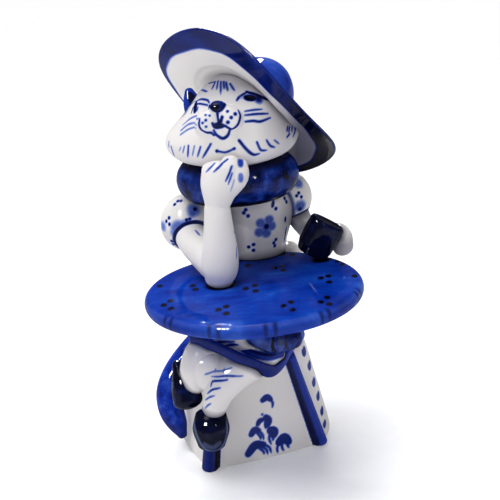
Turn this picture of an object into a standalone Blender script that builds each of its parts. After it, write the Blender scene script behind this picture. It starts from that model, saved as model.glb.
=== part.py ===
"""A porcelain souvenir figurine: a cat lady in a wide hat, seated on a block behind a round table.

The real one is slip-cast porcelain in some two dozen casts, luted together with slip, painted in cobalt
under the glaze and fired once as one thing. Here each cast is a solid of its own. Lengths are in
millimetres, turned to metres as each mesh is made. +Z is up, the cat faces -Y, and the origin is the
middle of the block's underside.
"""

from math import cos, pi, radians, sin

import bmesh
import bpy
from mathutils import Matrix, Vector

# ---- driving dimensions, in millimetres ----
MM = 0.001
GAP = 0.3  # the joint line that luted pieces keep to each other

BLOCK_HEIGHT = 38.0
WALL = 4.0  # of every hollow cast
VENT_RADIUS = 1.8
POST_RADIUS = 3.4

TABLE_CENTRE = (7.1, -25.1)
TABLE_RADIUS = 39.4
TABLE_TOP = 71.0
TABLE_THICK = 5.6

BODY_X = 9.0  # the torso's axis, left to right
BODY_Y = 15.0  # and front to back
NECK_RADIUS = 6.5

SCARF_CENTRE = (4.9, 3.0, 104.6)
SCARF_RING = (15.0, 12.0)
SCARF_ROLL = (8.0, 8.2)

HAT_CENTRE = (9.6, 8.0, 129.15)
HAT_AXIS = (0.600, 0.542, 0.589)
BRIM_RADIUS = 37.6
BRIM_THICK = 2.0
BRIM_WAVES = ((2, 1.9, 0.0), (3, 2.5, -12.0))  # waves round the brim, their height, their first crest
CROWN_CENTRE = (10.3, 9.0, 127.9)
CROWN_OUTLINE = ((18.5, 0.0), (16.0, 4.0), (14.2, 8.0), (13.0, 12.0), (10.8, 16.2), (7.2, 19.8))
CROWN_HEIGHT = 22.2
CROWN_DEPTH = 2.5  # how far the crown reaches down through the brim

# ---- colours: linear RGB with roughness ----
WHITE = ((0.80, 0.80, 0.82), 0.12)
COBALT = ((0.03, 0.08, 0.42), 0.12)
NAVY = ((0.01, 0.02, 0.10), 0.12)


# ---- meshes ----
def ring_points(centre, u, v, half_u, half_v, sides):
    """Points of an ellipse about centre, in the plane of u and v."""
    turn = [2 * pi * i / sides for i in range(sides)]
    return [centre + u * (half_u * cos(t)) + v * (half_v * sin(t)) for t in turn]


def skin(rings, first=None, last=None):
    """A closed mesh over rings of equal length; first and last are poles, or None for flat ends."""
    bm = bmesh.new()
    loops = [[bm.verts.new(p * MM) for p in ring] for ring in rings]
    for low, high in zip(loops, loops[1:]):
        for i in range(len(low)):
            j = (i + 1) % len(low)
            bm.faces.new((low[i], low[j], high[j], high[i]))
    for loop, pole, forward in ((loops[0], first, False), (loops[-1], last, True)):
        if pole is None:
            bm.faces.new(loop if forward else list(reversed(loop)))
            continue
        tip = bm.verts.new(pole * MM)
        for i in range(len(loop)):
            j = (i + 1) % len(loop)
            corners = (loop[i], loop[j], tip) if forward else (loop[j], loop[i], tip)
            bm.faces.new(corners)
    bmesh.ops.recalc_face_normals(bm, faces=bm.faces)
    return bm


def between(a, b, c, d, t):
    """A Catmull-Rom value between b and c."""
    return 0.5 * (2 * b + (c - a) * t + (2 * a - 5 * b + 4 * c - d) * t * t + (3 * b - a - 3 * c + d) * t**3)


def refined(stations, steps):
    """More stations between the given ones, along a smooth curve through them."""
    rows = [Vector(s) for s in stations]
    ends = [2 * rows[0] - rows[1]] + rows + [2 * rows[-1] - rows[-2]]
    fine = []
    for a, b, c, d in zip(ends, ends[1:], ends[2:], ends[3:]):
        fine += [between(a, b, c, d, k / steps) for k in range(steps)]
    return fine + [rows[-1]]


def form(stations, grow=0.0, side=(1, 0, 0), upright=False, sides=12, steps=2, bulge=None):
    """A rounded limb: stations are (x, y, z, half width, half depth) along its spine."""
    fine = refined([(*s[:3],) for s in stations], steps)
    sizes = refined([(s[3], s[4], 0) for s in stations], steps)
    rings, frames = [], []
    for i, centre in enumerate(fine):
        ahead = fine[min(i + 1, len(fine) - 1)] - fine[max(i - 1, 0)]
        t = Vector((0, 0, 1 if ahead.z > 0 else -1)) if upright else ahead.normalized()
        u = (Vector(side) - t * t.dot(Vector(side))).normalized()
        frames.append((centre, t, u, t.cross(u), sizes[i].x + grow, sizes[i].y + grow))
    tip = bulge if bulge is not None else 0.8 * min(frames[0][4], frames[0][5])
    toe = bulge if bulge is not None else 0.8 * min(frames[-1][4], frames[-1][5])
    c, t, u, v, a, b = frames[0]
    for angle in (60, 30):
        k = radians(angle)
        rings.append(ring_points(c - t * tip * sin(k), u, v, a * cos(k), b * cos(k), sides))
    for c, t, u, v, a, b in frames:
        rings.append(ring_points(c, u, v, a, b, sides))
    for angle in (30, 60):
        k = radians(angle)
        rings.append(ring_points(c + t * toe * sin(k), u, v, a * cos(k), b * cos(k), sides))
    c0, t0 = frames[0][:2]
    return skin(rings, c0 - t0 * tip, c + t * toe)


def ball(centre, radii, grow=0.0, turn=(0, 0, 0), sides=14, rows=8):
    """An ellipsoid, turned about X, Y and Z by degrees."""
    spin = Matrix.Rotation(radians(turn[2]), 3, "Z") @ Matrix.Rotation(radians(turn[1]), 3, "Y")
    spin = spin @ Matrix.Rotation(radians(turn[0]), 3, "X")
    u, v, w = (spin @ Vector(axis) for axis in ((1, 0, 0), (0, 1, 0), (0, 0, 1)))
    a, b, c = (r + grow for r in radii)
    middle = Vector(centre)
    rings = []
    for i in range(1, rows):
        k = -pi / 2 + pi * i / rows
        rings.append(ring_points(middle + w * c * sin(k), u, v, a * cos(k), b * cos(k), sides))
    return skin(rings, middle - w * c, middle + w * c)


def axes_of(axis):
    """Two directions across an axis, the first level with the ground."""
    w = Vector(axis).normalized()
    u = Vector((0, 1, 0)).cross(w).normalized()
    return u, w.cross(u), w


def turned(profile, centre, axis, sides=40, scale=(1, 1)):
    """A turned ring or disc: profile is a closed outline of (radius, height) about the axis."""
    u, v, w = axes_of(axis)
    base = Vector(centre)
    bm = bmesh.new()
    loops = []
    for i in range(sides):
        t = 2 * pi * i / sides
        out = u * cos(t) * scale[0] + v * sin(t) * scale[1]
        loops.append([bm.verts.new((base + out * r + w * h) * MM) for r, h in profile])
    for i in range(sides):
        here, there = loops[i], loops[(i + 1) % sides]
        for j in range(len(profile)):
            k = (j + 1) % len(profile)
            bm.faces.new((here[j], there[j], there[k], here[k]))
    bmesh.ops.remove_doubles(bm, verts=bm.verts, dist=1e-7)
    bmesh.ops.recalc_face_normals(bm, faces=bm.faces)
    return bm


# ---- objects ----
def material(name, finish):
    colour, roughness = finish
    made = bpy.data.materials.new(name + "_glaze")
    made.use_nodes = True
    shader = made.node_tree.nodes["Principled BSDF"]
    shader.inputs["Base Color"].default_value = (*colour, 1)
    shader.inputs["Roughness"].default_value = roughness
    shader.inputs["Metallic"].default_value = 0
    return made


def to_object(name, bm):
    mesh = bpy.data.meshes.new(name)
    bm.to_mesh(mesh)
    bm.free()
    made = bpy.data.objects.new(name, mesh)
    bpy.context.scene.collection.objects.link(made)
    return made


def as_cutter(made):
    made.hide_render = True
    made.display_type = "WIRE"
    return made


def boolean(made, other, operation):
    cut = made.modifiers.new(operation.lower(), "BOOLEAN")
    cut.object = other
    cut.operation = operation
    cut.solver = "EXACT"


SHAPES = {}  # a piece's name, and the function that makes its lumps with some clearance added
SPACES = {}  # the room that a piece needs, made once


def space_of(name):
    if name not in SPACES:
        lumps = [as_cutter(to_object(f"{name}_space_{i}", bm)) for i, bm in enumerate(SHAPES[name](GAP))]
        for other in lumps[1:]:
            boolean(lumps[0], other, "UNION")
        SPACES[name] = lumps[0]
    return SPACES[name]


def piece(name, finish, shape, clear_of=(), hollows=()):
    """One cast: its lumps joined, then cut back from the pieces that it is luted to."""
    SHAPES[name] = shape
    lumps = [to_object(name if i == 0 else f"{name}_lump_{i}", bm) for i, bm in enumerate(shape(0.0))]
    made = lumps[0]
    for other in lumps[1:]:
        boolean(made, as_cutter(other), "UNION")
    for other in hollows:
        boolean(made, as_cutter(other), "DIFFERENCE")
    for other in clear_of:
        boolean(made, space_of(other), "DIFFERENCE")
    made.data.materials.append(material(name, finish))
    made.data.shade_smooth()
    made.data.set_sharp_from_angle(angle=radians(45))
    return made


# ---- the seat ----
BLOCK_FOOT = ((-15.6, -28.1), (28.1, -14.6), (27.6, 16.5), (-29.0, 14.0))
BLOCK_HEAD = ((-10.0, -18.5), (18.5, -12.5), (21.5, 14.0), (-17.0, 11.0))
BLOCK_BOW = (2.2, 5.0, 2.2, 2.2)  # how far each side swells: front, right, back, left


def block_outline(share, grow, per_side=4):
    """The block's outline at a share of its height: four slightly bowed sides."""
    corners = [Vector((*f, 0)).lerp(Vector((*h, 0)), share) for f, h in zip(BLOCK_FOOT, BLOCK_HEAD)]
    middle = sum(corners, Vector()) / 4
    points = []
    for a, b, bow in zip(corners, corners[1:] + corners[:1], BLOCK_BOW):
        out = Vector(((b - a).y, -(b - a).x, 0)).normalized()
        for k in range(per_side):
            t = k / per_side
            points.append(a.lerp(b, t) + out * bow * 4 * t * (1 - t))
    return [p + (p - middle).normalized() * grow * 1.5 + Vector((0, 0, share * BLOCK_HEIGHT)) for p in points]


def block_body(grow=0.0):
    levels = [block_outline(k / 4, grow) for k in range(5)]
    for p in levels[0]:
        p.z -= grow
    for p in levels[-1]:
        p.z += grow
    return skin(levels)


def post(corner, grow=0.0):
    """A moulded quarter-round post that runs up one corner of the block."""
    foot, head = Vector((*BLOCK_FOOT[corner], 0)), Vector((*BLOCK_HEAD[corner], BLOCK_HEIGHT - 0.6))
    foot, head = foot * 0.965, Vector((head.x * 0.96, head.y * 0.96, head.z))
    u, v = Vector((1, 0, 0)), Vector((0, 1, 0))
    radius = POST_RADIUS + grow
    lift = Vector((0, 0, grow))
    return skin([
        ring_points(foot - lift, u, v, radius, radius, 12),
        ring_points(head + lift, u, v, radius * 0.75, radius * 0.75, 12),
    ])


def seat_block(grow):
    return [block_body(grow)] + [post(corner, grow) for corner in range(4)]


def block_hollow():
    """The space inside the cast, a wall's thickness in from every face."""
    levels = []
    for k in range(4):
        z = WALL + (BLOCK_HEIGHT - 2 * WALL) * k / 3
        ring = block_outline(z / BLOCK_HEIGHT, -WALL / 1.5)
        levels.append([Vector((p.x, p.y, z)) for p in ring])
    return to_object("block_hollow", skin(levels))


def vent(name, low, high):
    """A round vent, which lets the air out of a hollow cast in the kiln."""
    u, v = Vector((1, 0, 0)), Vector((0, 1, 0))
    rings = [ring_points(Vector(end), u, v, VENT_RADIUS, VENT_RADIUS, 12) for end in (low, high)]
    return to_object(name, skin(rings))


def hollow(name, shape):
    """The room inside a cast: the same lumps, a wall's thickness smaller."""
    return [to_object(f"{name}_hollow_{i}", bm) for i, bm in enumerate(shape(-WALL))]


# ---- skirt, legs and tail ----
def skirt_bells(grow):
    """The hips and the lap, which are hollow."""
    hips = ball((7.5, 13.0, 53.5), (22.0, 15.5, 17.5), grow, sides=18, rows=10)
    lap = ball((2.0, -9.5, 50.5), (20.0, 19.5, 13.6), grow, turn=(0, 8, 0), sides=18, rows=10)
    return [hips, lap]


def skirt(grow):
    return [*skirt_bells(grow), ball((21.5, 18.0, 66.0), (6.3, 7.0, 6.6), grow)]


HEM_ROUTE = ((-17.0, -22.5, 51.5), (-8.6, -29.0, 50.0), (0.0, -32.5, 46.0), (7.5, -30.5, 40.5), (11.5, -26.5, 37.4),
             (15.5, -21.5, 38.6), (19.0, -15.5, 41.5), (23.7, -9.0, 43.5))
FOLD_ROUTE = ((6.0, -28.5, 53.0), (11.5, -27.0, 49.0), (15.5, -22.0, 46.5), (20.5, -17.0, 45.8))


def skirt_hem(grow):
    stations = [(*p, 2.6, 1.3) for p in HEM_ROUTE]
    return [form(stations, grow, side=(0.1, -0.35, 1.0), sides=10)]


def skirt_fold(grow):
    stations = [(*p, 4.0, 3.4) for p in FOLD_ROUTE]
    return [form(stations, grow, side=(0, 0, 1), sides=12)]


def leg_left(grow):
    stations = ((12.0, -19.5, 41.5, 5.5, 5.0), (4.5, -24.5, 41.5, 7.4, 7.0), (-3.5, -27.5, 38.0, 7.6, 7.0),
                (-9.0, -30.5, 32.0, 5.8, 5.4), (-12.0, -32.5, 25.0, 4.1, 4.1))
    knee = ball((-12.5, -24.5, 39.5), (7.5, 7.0, 8.5), grow)
    return [form(stations, grow, side=(0, -1, 0.3), sides=12), knee]


def leg_right(grow):
    stations = ((-7.0, -17, 46, 6, 6), (-13.0, -21.5, 44.5, 7.0, 7.0), (-16.5, -24.0, 40, 6.2, 6.2),
                (-18.6, -25.5, 34.5, 4.8, 4.8))
    return [form(stations, grow, side=(0, -1, 0.3), sides=12)]


def shoe_left(grow):
    stations = ((-12.6, -31.5, 24.5, 5.8, 4.6), (-12.9, -34.0, 20.0, 6.8, 5.6), (-13.2, -35.4, 14.8, 5.2, 4.2))
    return [form(stations, grow, sides=12, bulge=2.8)]


def shoe_right(grow):
    stations = ((-23.2, -21.5, 39.5, 2.4, 3.0), (-21.7, -24.3, 34.5, 4.8, 5.0), (-20.7, -26.2, 28.6, 5.6, 5.2))
    return [form(stations, grow, sides=12, bulge=3.4)]


def tail(grow):
    stations = ((-9, 9, 42, 4.6, 4.6), (-16.8, 5, 38, 4.8, 4.8), (-24.2, 1, 31, 5.0, 5.0), (-28.0, -2, 25.5, 5.1, 5.1),
                (-29.4, -3.5, 20.5, 5.2, 5.2), (-28.9, -6.2, 15.2, 5.0, 4.9), (-26.9, -9, 10.6, 3.8, 3.8),
                (-25.4, -11, 7.2, 2.0, 2.0))
    return [form(stations, grow, side=(0, 1, 0), sides=12)]


# ---- the body above the table ----
def torso(grow):
    stations = ((BODY_X, BODY_Y, 58, 12, 10), (BODY_X, BODY_Y, 66, 12.2, 11.5), (BODY_X, BODY_Y, 74, 12.6, 12.5),
                (BODY_X, BODY_Y - 0.5, 82, 15.0, 13.2), (BODY_X, BODY_Y - 1, 90, 16.6, 13),
                (8.0, 12.0, 97, 13.5, 11.5), (7.0, 7.5, 103, NECK_RADIUS, NECK_RADIUS),
                (6.0, 4.0, 109, NECK_RADIUS, NECK_RADIUS))
    return [form(stations, grow, upright=True, sides=18, bulge=1.5)]


def torso_room(grow):
    """The room in the torso, which opens downwards into the skirt."""
    stations = ((BODY_X, BODY_Y, 54, 13, 12), (BODY_X, BODY_Y, 74, 12.8, 12.5), (BODY_X, BODY_Y - 1, 90, 16, 12.6),
                (8.0, 12.0, 95, 12, 10))
    return [form(stations, grow, upright=True, bulge=0.5)]


def table_top(grow):
    r, top, low = TABLE_RADIUS + grow, TABLE_TOP + grow, TABLE_TOP - TABLE_THICK - grow
    half = (top - low) / 2
    edge = [(r - half * 0.8 + half * 0.8 * cos(k), top - half + half * sin(k))
            for k in (radians(a) for a in range(-90, 91, 45))]
    profile = [(0, low)] + edge + [(0, top)]
    return [turned(profile, (*TABLE_CENTRE, 0), (0, 0, 1), sides=48)]


def scarf(grow):
    u, v = SCARF_ROLL
    roll = [((u + grow) * cos(radians(a)), (v + grow) * sin(radians(a))) for a in range(0, 360, 36)]
    profile = [(SCARF_RING[0] + x, z) for x, z in roll]
    ratio = SCARF_RING[1] / SCARF_RING[0]
    return [turned(profile, SCARF_CENTRE, (0.0, -0.04, 1.0), sides=28, scale=(1, ratio + 0.03))]


HEAD_SECTIONS = (  # x, y, z, half width and half depth, from under the chin to the crown of the skull
    (4.4, 0.0, 111.5, 14.2, 12.5), (4.1, -0.5, 113.5, 19.9, 15.5), (4.0, -0.8, 116.5, 23.2, 17.4),
    (4.1, -0.5, 120.5, 24.5, 18.0), (4.4, 0.0, 124.8, 22.4, 17.8), (5.2, 0.3, 129.5, 18.3, 17.0),
    (6.0, 0.5, 134.5, 14.8, 15.6), (6.2, 0.8, 139.0, 10.8, 12.0), (6.2, 1.0, 142.2, 5.6, 6.0),
)


def skull(grow):
    return form(HEAD_SECTIONS, grow, upright=True, sides=22, steps=1, bulge=1.0)


def head(grow):
    tuft = form(((14, -1.5, 121.5, 8, 8), (21, -1.5, 121.3, 6.4, 7.4), (27.0, -2.0, 121.0, 3.2, 4.2)), grow,
                side=(0, 0, 1), bulge=1.8)
    muzzle = ball((-0.8, -15.0, 127.0), (8.0, 5.6, 5.8), grow)
    return [skull(grow), tuft, muzzle]


def head_room(grow):
    return [form(HEAD_SECTIONS[1:-1], grow, upright=True, sides=12, steps=1, bulge=0.5)]


def ear_right(grow):
    stations = ((-8.0, 1.5, 130.0, 4.4, 2.4), (-9.2, 1.5, 134.0, 3.4, 2.2), (-10.0, 2.0, 138.0, 1.6, 1.2))
    return [form(stations, grow, side=(1, 0.3, 0.5), sides=12, bulge=1)]


# ---- the hat ----
def hat_crown(grow):
    outline = [(r + grow, h) for r, h in CROWN_OUTLINE]
    foot = CROWN_OUTLINE[0][0] + grow
    base = -CROWN_DEPTH - grow
    profile = [(0, base), (foot, base)] + outline + [(0, CROWN_HEIGHT + grow)]
    return [turned(profile, CROWN_CENTRE, HAT_AXIS, sides=24)]


def brim_lift(angle, share):
    """How far the brim waves up or down at an angle, growing from the crown to the rim."""
    return share**2 * sum(height * cos(count * (angle - radians(crest))) for count, height, crest in BRIM_WAVES)


def hat_brim(grow, rounds=5, sides=44):
    u, v, w = axes_of(HAT_AXIS)
    half = BRIM_THICK / 2 + grow
    inner = 15.0
    top, under = [], []
    for k in range(rounds + 1):
        share = k / rounds
        r = inner + (BRIM_RADIUS + grow - inner) * share
        thin = half * (1 - 0.45 * share**2)
        top.append((r - (0.3 if k == rounds else 0), thin, r / BRIM_RADIUS))
        under.append((r - (0.3 if k == rounds else 0), -thin, r / BRIM_RADIUS))
    profile = top + [(BRIM_RADIUS + grow, 0.0, 1.0)] + under[::-1]
    bm = bmesh.new()
    loops = []
    for i in range(sides):
        t = 2 * pi * i / sides
        out = u * cos(t) + v * sin(t)
        loops.append([bm.verts.new((Vector(HAT_CENTRE) + out * r + w * (h + brim_lift(t, share))) * MM)
                      for r, h, share in profile])
    for i in range(sides):
        here, there = loops[i], loops[(i + 1) % sides]
        for j in range(len(profile)):
            k = (j + 1) % len(profile)
            bm.faces.new((here[j], there[j], there[k], here[k]))
    bmesh.ops.recalc_face_normals(bm, faces=bm.faces)
    return [bm]


# ---- arms ----
def sleeve_right(grow):
    return [ball((-16.0, 8.0, 87.0), (10.2, 9.5, 11.2), grow, turn=(0, 20, 0))]


def arm_right(grow):
    upper = form(((-15.0, 5.0, 84, 6.6, 6.6), (-13.2, -3, 82, 6.3, 6.1), (-9.5, -12, 80, 6.3, 6.0),
                  (-6.0, -19.0, 78.0, 6.3, 6.0)), grow, sides=12)
    forearm = form(((-5.0, -22.4, 73.4, 5.2, 5.0), (-4.3, -22.6, 77, 6.5, 6.2), (-3.7, -22.5, 83, 6.5, 6.2),
                    (-3.4, -22.5, 92, 5.4, 5.2), (-3.2, -22, 100, 4.6, 4.6)), grow, sides=12, bulge=3.4)
    return [forearm, upper]


def paw_right(grow):
    palm = form(((-3, -22, 101, 4.6, 4.4), (-1.8, -21.5, 107, 6.6, 5.0), (-0.8, -20.5, 113, 6.6, 4.6)), grow,
                sides=12, bulge=3.2)
    thumb = form(((1, -21.5, 105, 3.2, 3.2), (5.3, -21, 110.0, 3.6, 3.3), (5.6, -20.2, 114.4, 3.2, 3.0)), grow,
                 sides=12, bulge=2)
    return [palm, thumb]


def sleeve_left(grow):
    return [ball((24.3, 18.0, 91.0), (8.6, 8.8, 9.6), grow, turn=(0, -12, 0))]


def arm_left(grow):
    stations = ((25.5, 17.5, 87, 5.2, 5.2), (28.0, 15.5, 81, 4.2, 4.4), (32.0, 12.5, 76.5, 3.8, 4.0),
                (37.5, 9.0, 75.5, 3.8, 4.0))
    return [form(stations, grow, side=(0, 1, 0), sides=12)]


def paw_left(grow):
    stations = ((38.0, 8.5, 76.5, 4.4, 4.4), (41.6, 4.4, 76.6, 5.4, 4.6), (42.2, -0.6, 74.2, 4.4, 4.0))
    return [form(stations, grow, side=(0, 0, 1), sides=12, bulge=2.4)]


def handbag(grow):
    u = Vector((0.84, 0.05, -0.54)).normalized()
    v = Vector((0, 1, 0)) - u * u.y
    v.normalize()
    w = u.cross(v)
    middle = Vector((33.6, -2.6, 79.6))
    sizes = ((-7.6, 5.4, 4.2), (-4, 6.6, 5.4), (3.5, 6.9, 5.2), (6.8, 6.6, 4.6))
    rings = []
    for along, half_u, half_v in sizes:
        wide, deep = half_u + grow, half_v + grow
        at = middle + w * (along + (grow if along > 0 else -grow))
        corners = [(a * 0.72, b) for a, b in ((-1, -1), (1, -1))]
        corners += [(1, b) for b in (-0.7, 0.7)] + [(a * 0.72, 1) for a in (1, -1)] + [(-1, b) for b in (0.7, -0.7)]
        rings.append([at + u * (a * wide) + v * (b * deep) for a, b in corners])
    return [skin(rings)]


def build():
    for old in list(bpy.data.objects):
        bpy.data.objects.remove(old, do_unlink=True)

    block_vent = vent("block_vent", (12, 2, -1), (12, 2, WALL + 1))
    skirt_vent = vent("skirt_vent", (5, 4, BLOCK_HEIGHT - 4), (5, 4, BLOCK_HEIGHT + 12))
    neck_vent = vent("neck_vent", (6, 4, 106), (6, 4, 120))
    piece("seat_block", WHITE, seat_block, hollows=(block_hollow(), block_vent))
    piece("skirt", WHITE, skirt, clear_of=("seat_block",), hollows=(*hollow("skirt", skirt_bells), skirt_vent))
    piece("torso", WHITE, torso, clear_of=("skirt",), hollows=hollow("torso", torso_room))
    piece("table_top", COBALT, table_top, clear_of=("torso", "skirt"))
    piece("leg_left", WHITE, leg_left, clear_of=("skirt", "seat_block"))
    piece("leg_right", WHITE, leg_right, clear_of=("skirt", "seat_block", "leg_left"))
    piece("shoe_left", NAVY, shoe_left, clear_of=("leg_left", "seat_block"))
    piece("shoe_right", NAVY, shoe_right, clear_of=("leg_right", "leg_left", "seat_block", "shoe_left"))
    piece("skirt_hem", NAVY, skirt_hem, clear_of=("skirt", "leg_left", "leg_right", "seat_block"))
    piece("skirt_fold", NAVY, skirt_fold, clear_of=("skirt", "skirt_hem", "leg_left", "table_top"))
    piece("tail", COBALT, tail, clear_of=("skirt", "seat_block", "leg_right", "shoe_right"))
    piece("scarf", COBALT, scarf, clear_of=("torso",))
    piece("head", WHITE, head, clear_of=("scarf", "torso"), hollows=(*hollow("head", head_room), neck_vent))
    piece("hat_crown", COBALT, hat_crown, clear_of=("head", "scarf"))
    piece("hat_brim", WHITE, hat_brim, clear_of=("head", "hat_crown", "scarf"))
    piece("ear_right", WHITE, ear_right, clear_of=("head", "hat_brim", "hat_crown"))
    piece("sleeve_right", WHITE, sleeve_right, clear_of=("torso", "scarf"))
    piece("arm_right", WHITE, arm_right, clear_of=("sleeve_right", "table_top", "scarf"))
    piece("paw_right", WHITE, paw_right, clear_of=("arm_right", "scarf", "head"))
    piece("sleeve_left", WHITE, sleeve_left, clear_of=("torso", "scarf", "hat_brim"))
    piece("handbag", NAVY, handbag, clear_of=("table_top",))
    piece("arm_left", WHITE, arm_left, clear_of=("sleeve_left", "table_top", "handbag", "torso"))
    piece("paw_left", WHITE, paw_left, clear_of=("arm_left", "handbag", "table_top"))


build()
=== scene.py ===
# %% [markdown]
# # A porcelain cat lady at a round table
#
# This is a hand-painted souvenir figurine in blue and white. A cat in a wide hat sits on a block, leans
# her elbow on a round table and holds a handbag. The real one is slip-cast: two dozen hollow casts are
# luted together with wet slip, painted with cobalt oxide, dipped in clear glaze and fired. So everything
# here is one hard, shiny material, and what changes from place to place is only how much cobalt lies
# under the glaze. The frame below is the CAD model. Each cast is modelled again in a fine mesh on top
# of it, in the same place and at the same size.

# %% Load the frame
import math

import bmesh
import bpy
import numpy as np
from mathutils import Matrix, Vector
from mathutils.bvhtree import BVHTree


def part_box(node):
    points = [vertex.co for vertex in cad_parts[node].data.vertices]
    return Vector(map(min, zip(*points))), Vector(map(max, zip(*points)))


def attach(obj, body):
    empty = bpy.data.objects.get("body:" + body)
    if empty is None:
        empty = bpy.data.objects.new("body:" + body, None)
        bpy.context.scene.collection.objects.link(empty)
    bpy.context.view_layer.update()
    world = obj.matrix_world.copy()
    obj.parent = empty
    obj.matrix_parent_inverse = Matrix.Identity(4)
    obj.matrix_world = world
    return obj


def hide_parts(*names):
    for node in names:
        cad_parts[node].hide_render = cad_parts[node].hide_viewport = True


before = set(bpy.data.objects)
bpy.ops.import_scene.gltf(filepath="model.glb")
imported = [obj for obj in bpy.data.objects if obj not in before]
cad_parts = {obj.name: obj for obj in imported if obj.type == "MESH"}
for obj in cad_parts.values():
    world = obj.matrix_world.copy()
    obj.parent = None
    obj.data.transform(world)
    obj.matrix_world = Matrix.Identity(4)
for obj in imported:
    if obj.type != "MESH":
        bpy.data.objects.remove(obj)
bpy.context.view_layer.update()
MM = 0.001
print("nodes:", ", ".join(sorted(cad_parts)))

# %% [markdown]
# ## The camera, the light and the floor
#
# The figurine is photographed like a shop piece, from close by and a little above, so the block's top
# edge and the table look steeper than the hat. The camera is also turned a little about its own line of
# sight, so that the level table runs slightly uphill. A white room gives the broad pale reflections
# that tell the eye "glaze". A broad soft sky lights the floor. A window on the cat's right gives the
# shading, a tube on the left puts a glint on every round form, and a skylight behind draws the thin
# bright lines along the rims. The window's three panes and a large reflector behind show only as
# reflections in the glaze, so they add shine without adding light.

# %% Camera, lights and floor
CAMERA_AT = Vector((7.0, -400.2, 204.5)) * MM
CAMERA_TILT = 17.8  # degrees below the horizon
CAMERA_ROLL = 5.1
CAMERA_LENS = 80  # mm, on a 36 mm sensor

camera_data = bpy.data.cameras.new("camera")
camera_data.lens = CAMERA_LENS
camera_data.sensor_width = 36
camera_data.clip_start = 0.01
camera = bpy.data.objects.new("camera", camera_data)
bpy.context.scene.collection.objects.link(camera)
camera.location = CAMERA_AT
tilt = Matrix.Rotation(math.radians(90 - CAMERA_TILT), 4, "X")
camera.rotation_euler = (tilt @ Matrix.Rotation(math.radians(-CAMERA_ROLL), 4, "Z")).to_euler()
bpy.context.scene.camera = camera


def softbox(name, at, aim, size, power):
    """A rectangular lamp at one place in millimetres, turned to face another."""
    data = bpy.data.lights.new(name, "AREA")
    data.shape = "RECTANGLE"
    data.size, data.size_y = size[0] * MM, size[1] * MM
    data.energy = power
    lamp = bpy.data.objects.new(name, data)
    bpy.context.scene.collection.objects.link(lamp)
    lamp.location = Vector(at) * MM
    lamp.rotation_euler = (Vector(aim) - Vector(at)).to_track_quat("-Z", "Y").to_euler()
    return lamp


MIDDLE = (5, -5, 75)
WINDOW_AT = (-300, -420, 480)
PANE_GAP = 48  # mm between the panes, which stand square to the line from window to figurine
softbox("window", WINDOW_AT, MIDDLE, (44, 44), 0.6)
softbox("tube", (230, -420, 330), MIDDLE, (12, 110), 0.3)
softbox("skylight", (10, 370, 520), MIDDLE, (90, 24), 1.0)
glints = [softbox("reflector", (10, 380, 500), MIDDLE, (200, 240), 50.0)]
for k, across in enumerate((-PANE_GAP, 0, PANE_GAP)):
    pane_at = (WINDOW_AT[0] + across * 0.8, WINDOW_AT[1] - across * 0.6, WINDOW_AT[2])
    glints.append(softbox(f"pane_{k}", pane_at, MIDDLE, (26, 130), 4.5))
for lamp in glints:
    lamp.visible_diffuse = False

sky_data = bpy.data.lights.new("sky", "SUN")
sky_data.energy = 2.5
sky_data.angle = math.radians(46)
sky = bpy.data.objects.new("sky", sky_data)
bpy.context.scene.collection.objects.link(sky)
sky.rotation_euler = (math.radians(2), math.radians(-14), 0)

world = bpy.data.worlds.new("studio")
bpy.context.scene.world = world
world.use_nodes = True
background = world.node_tree.nodes["Background"]
background.inputs["Color"].default_value = (1.0, 1.0, 1.0, 1)
background.inputs["Strength"].default_value = 0.26
bpy.context.scene.view_settings.view_transform = "Standard"

bpy.ops.object.select_all(action="DESELECT")
bpy.ops.mesh.primitive_plane_add(size=8, location=(0, 0, 0))
floor = bpy.context.object
floor.name = "floor"
print("camera at", [round(c * 1000) for c in camera.location], "mm")

# %% [markdown]
# ## Colours
#
# Cobalt oxide is black when it is brushed on and turns blue in the fire. Thin paint gives a pale
# violet blue, a full brush gives cobalt, and where the paint pools it goes almost black. Colours are
# given as sRGB hex, the way they are picked from a swatch, and one function turns them to the linear
# values that a shader wants.

# %% Colour helper
def linear(hex_code):
    """sRGB hex to linear RGBA."""
    parts = [int(hex_code[i:i + 2], 16) / 255 for i in (1, 3, 5)]
    return tuple(c / 12.92 if c <= 0.04045 else ((c + 0.055) / 1.055) ** 2.4 for c in parts) + (1.0,)


BODY_WHITE = "#E3E0DF"  # fired porcelain under clear glaze
THIN_BLUE = "#7F93D0"  # a watery wash
COBALT = "#1B379F"  # a full brush
DEEP = "#0D1B5E"  # two strokes over each other
NEARLY_BLACK = "#050718"  # where paint pools
POOL_AND_SHADE_GREY = "#77788C"  # the grey of thick glaze and of painted shade, multiplied over the paint
GLAZE = {"Roughness": 0.32, "IOR": 1.5, "Metallic": 0.0, "Coat Weight": 0.22, "Coat Roughness": 0.035,
         "Coat IOR": 1.52, "Specular IOR Level": 0.0}  # the coat alone is glossy


def add(tree, kind, links=(), **settings):
    """Adds a shader node, sets its values and inputs, and links its inputs."""
    node = tree.nodes.new(kind)
    for key, value in settings.items():
        if key.startswith("in_"):
            node.inputs[int(key[3:])].default_value = value
        else:
            setattr(node, key, value)
    for socket, source in links:
        tree.links.new(source, node.inputs[socket])
    return node


def ramp_stops(node, stops):
    """Sets a colour ramp's stops from (position, hex)."""
    ramp = node.color_ramp
    while len(ramp.elements) > 1:
        ramp.elements.remove(ramp.elements[-1])
    ramp.elements[0].position = stops[0][0]
    ramp.elements[0].color = linear(stops[0][1])
    for place, code in stops[1:]:
        ramp.elements.new(place).color = linear(code)


def principled(name, settings):
    """A new material with some of its shader's inputs set."""
    made = bpy.data.materials.new(name)
    made.use_nodes = True
    shader = made.node_tree.nodes["Principled BSDF"]
    for key, value in settings.items():
        shader.inputs[key].default_value = value
    return made, made.node_tree, shader
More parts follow.
